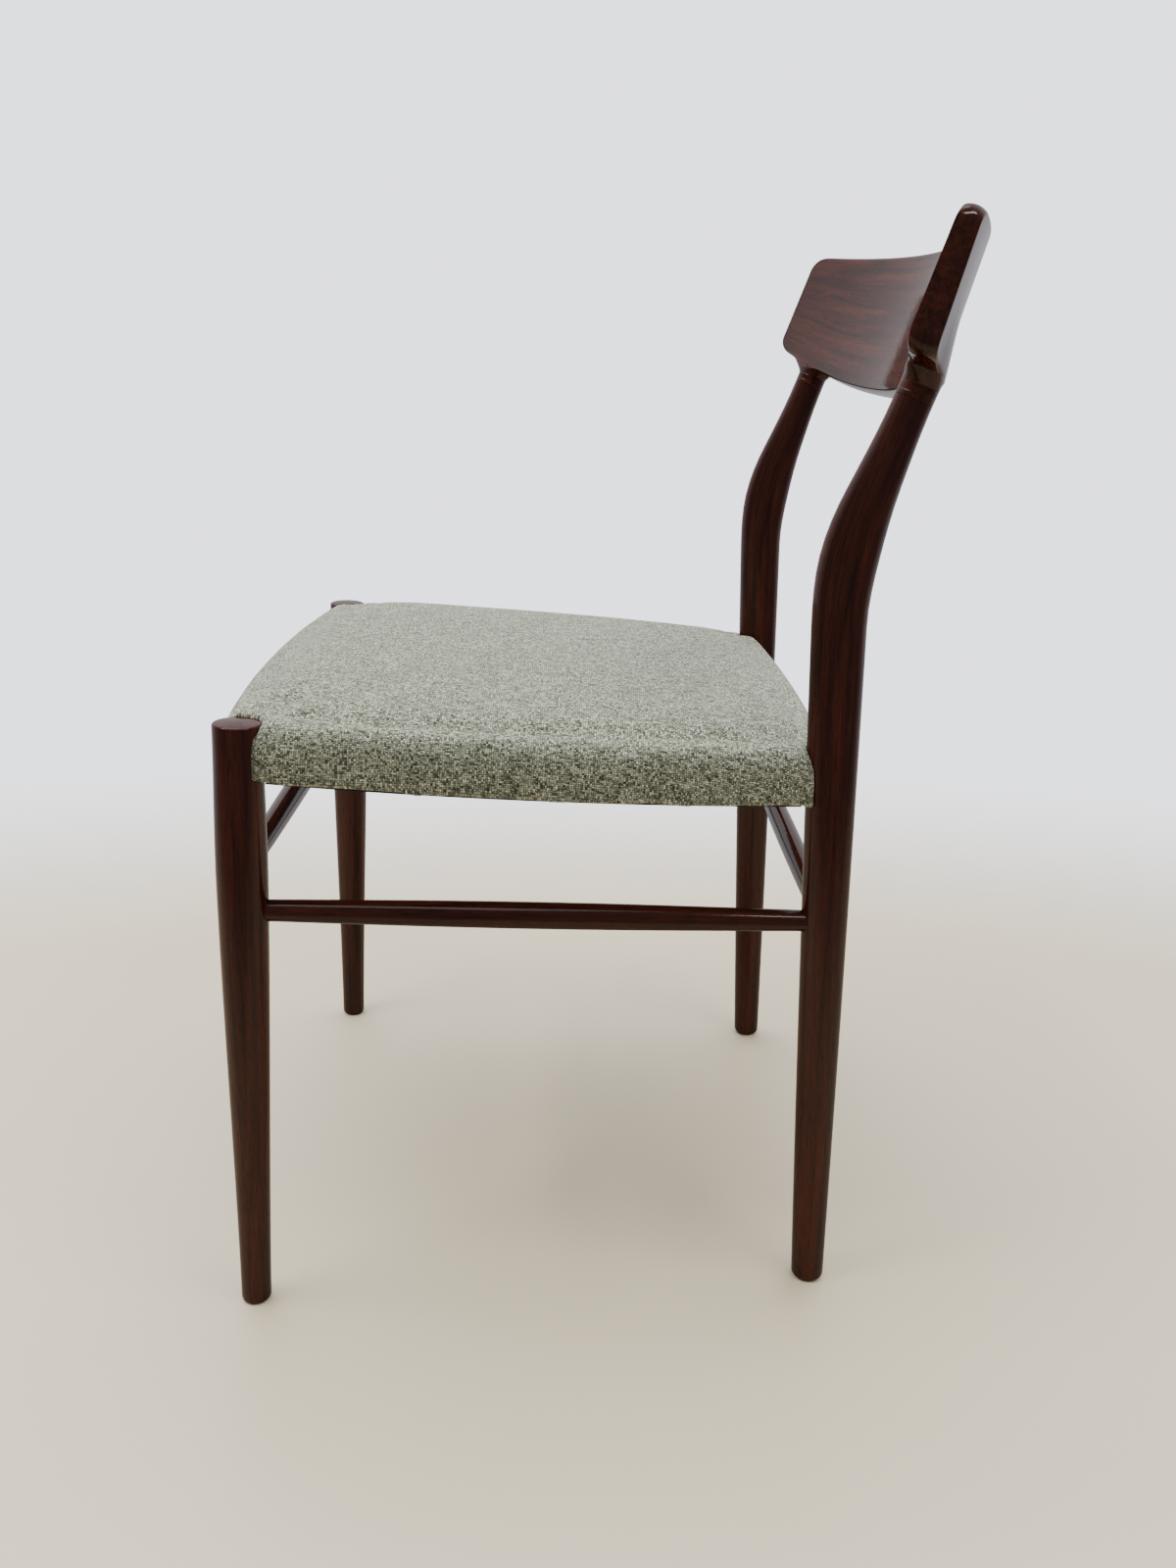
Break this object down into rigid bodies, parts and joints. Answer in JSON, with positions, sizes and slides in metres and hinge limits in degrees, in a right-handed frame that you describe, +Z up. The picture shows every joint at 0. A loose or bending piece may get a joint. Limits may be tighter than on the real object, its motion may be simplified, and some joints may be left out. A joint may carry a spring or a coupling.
{
  "type": "dining chair",
  "caption": "Armless dining chair with round tapered legs, a bent-post curved backrest, high stretchers and an upholstered seat that is notched round the legs.",
  "frame": {"origin": "on the floor, under the centre of the chair's outer box", "axes": "+Z up; the sitter faces -Y, and the sitter's left is +X"},
  "size_m": [0.487, 0.5276, 0.777],
  "materials": {
    "stained_wood": "dark red-brown stain under satin-gloss lacquer",
    "beech": "planed, unfinished",
    "tweed": "plain-weave tweed in grey-green, cream and black",
    "foam": "open-cell foam, matte",
    "webbing": "woven elastic webbing",
    "black_cloth": "thin non-woven cloth, matte",
    "zinc_steel": "zinc plated"
  },
  "bodies": {
    "root": {"front_leg_left": "stained_wood", "front_leg_right": "stained_wood", "rear_leg_left": "stained_wood", "rear_leg_right": "stained_wood", "backrest": "stained_wood", "side_stretcher_left": "stained_wood", "side_stretcher_right": "stained_wood", "front_stretcher": "stained_wood", "rear_stretcher": "stained_wood", "side_rail_left": "beech", "side_rail_right": "beech", "front_rail": "beech", "rear_rail": "beech", "backrest_dowel_left": "beech", "backrest_dowel_right": "beech", "front_left_side_dowel_1": "beech", "front_left_side_dowel_2": "beech", "front_left_cross_dowel_1": "beech", "front_left_cross_dowel_2": "beech", "front_right_side_dowel_1": "beech", "front_right_side_dowel_2": "beech", "front_right_cross_dowel_1": "beech", "front_right_cross_dowel_2": "beech", "rear_left_side_dowel_1": "beech", "rear_left_side_dowel_2": "beech", "rear_left_cross_dowel_1": "beech", "rear_left_cross_dowel_2": "beech", "rear_right_side_dowel_1": "beech", "rear_right_side_dowel_2": "beech", "rear_right_cross_dowel_1": "beech", "rear_right_cross_dowel_2": "beech", "front_left_corner_block": "beech", "front_right_corner_block": "beech", "rear_left_corner_block": "beech", "rear_right_corner_block": "beech", "front_left_side_screw": "zinc_steel", "front_left_cross_screw": "zinc_steel", "front_right_side_screw": "zinc_steel", "front_right_cross_screw": "zinc_steel", "rear_left_side_screw": "zinc_steel", "rear_left_cross_screw": "zinc_steel", "rear_right_side_screw": "zinc_steel", "rear_right_cross_screw": "zinc_steel", "webbing_strap_1": "webbing", "webbing_strap_2": "webbing", "webbing_strap_3": "webbing", "webbing_strap_4": "webbing", "webbing_strap_5": "webbing", "foam_pad": "foam", "seat_cover": "tweed", "dust_cover": "black_cloth"}
  },
  "joints": []
}
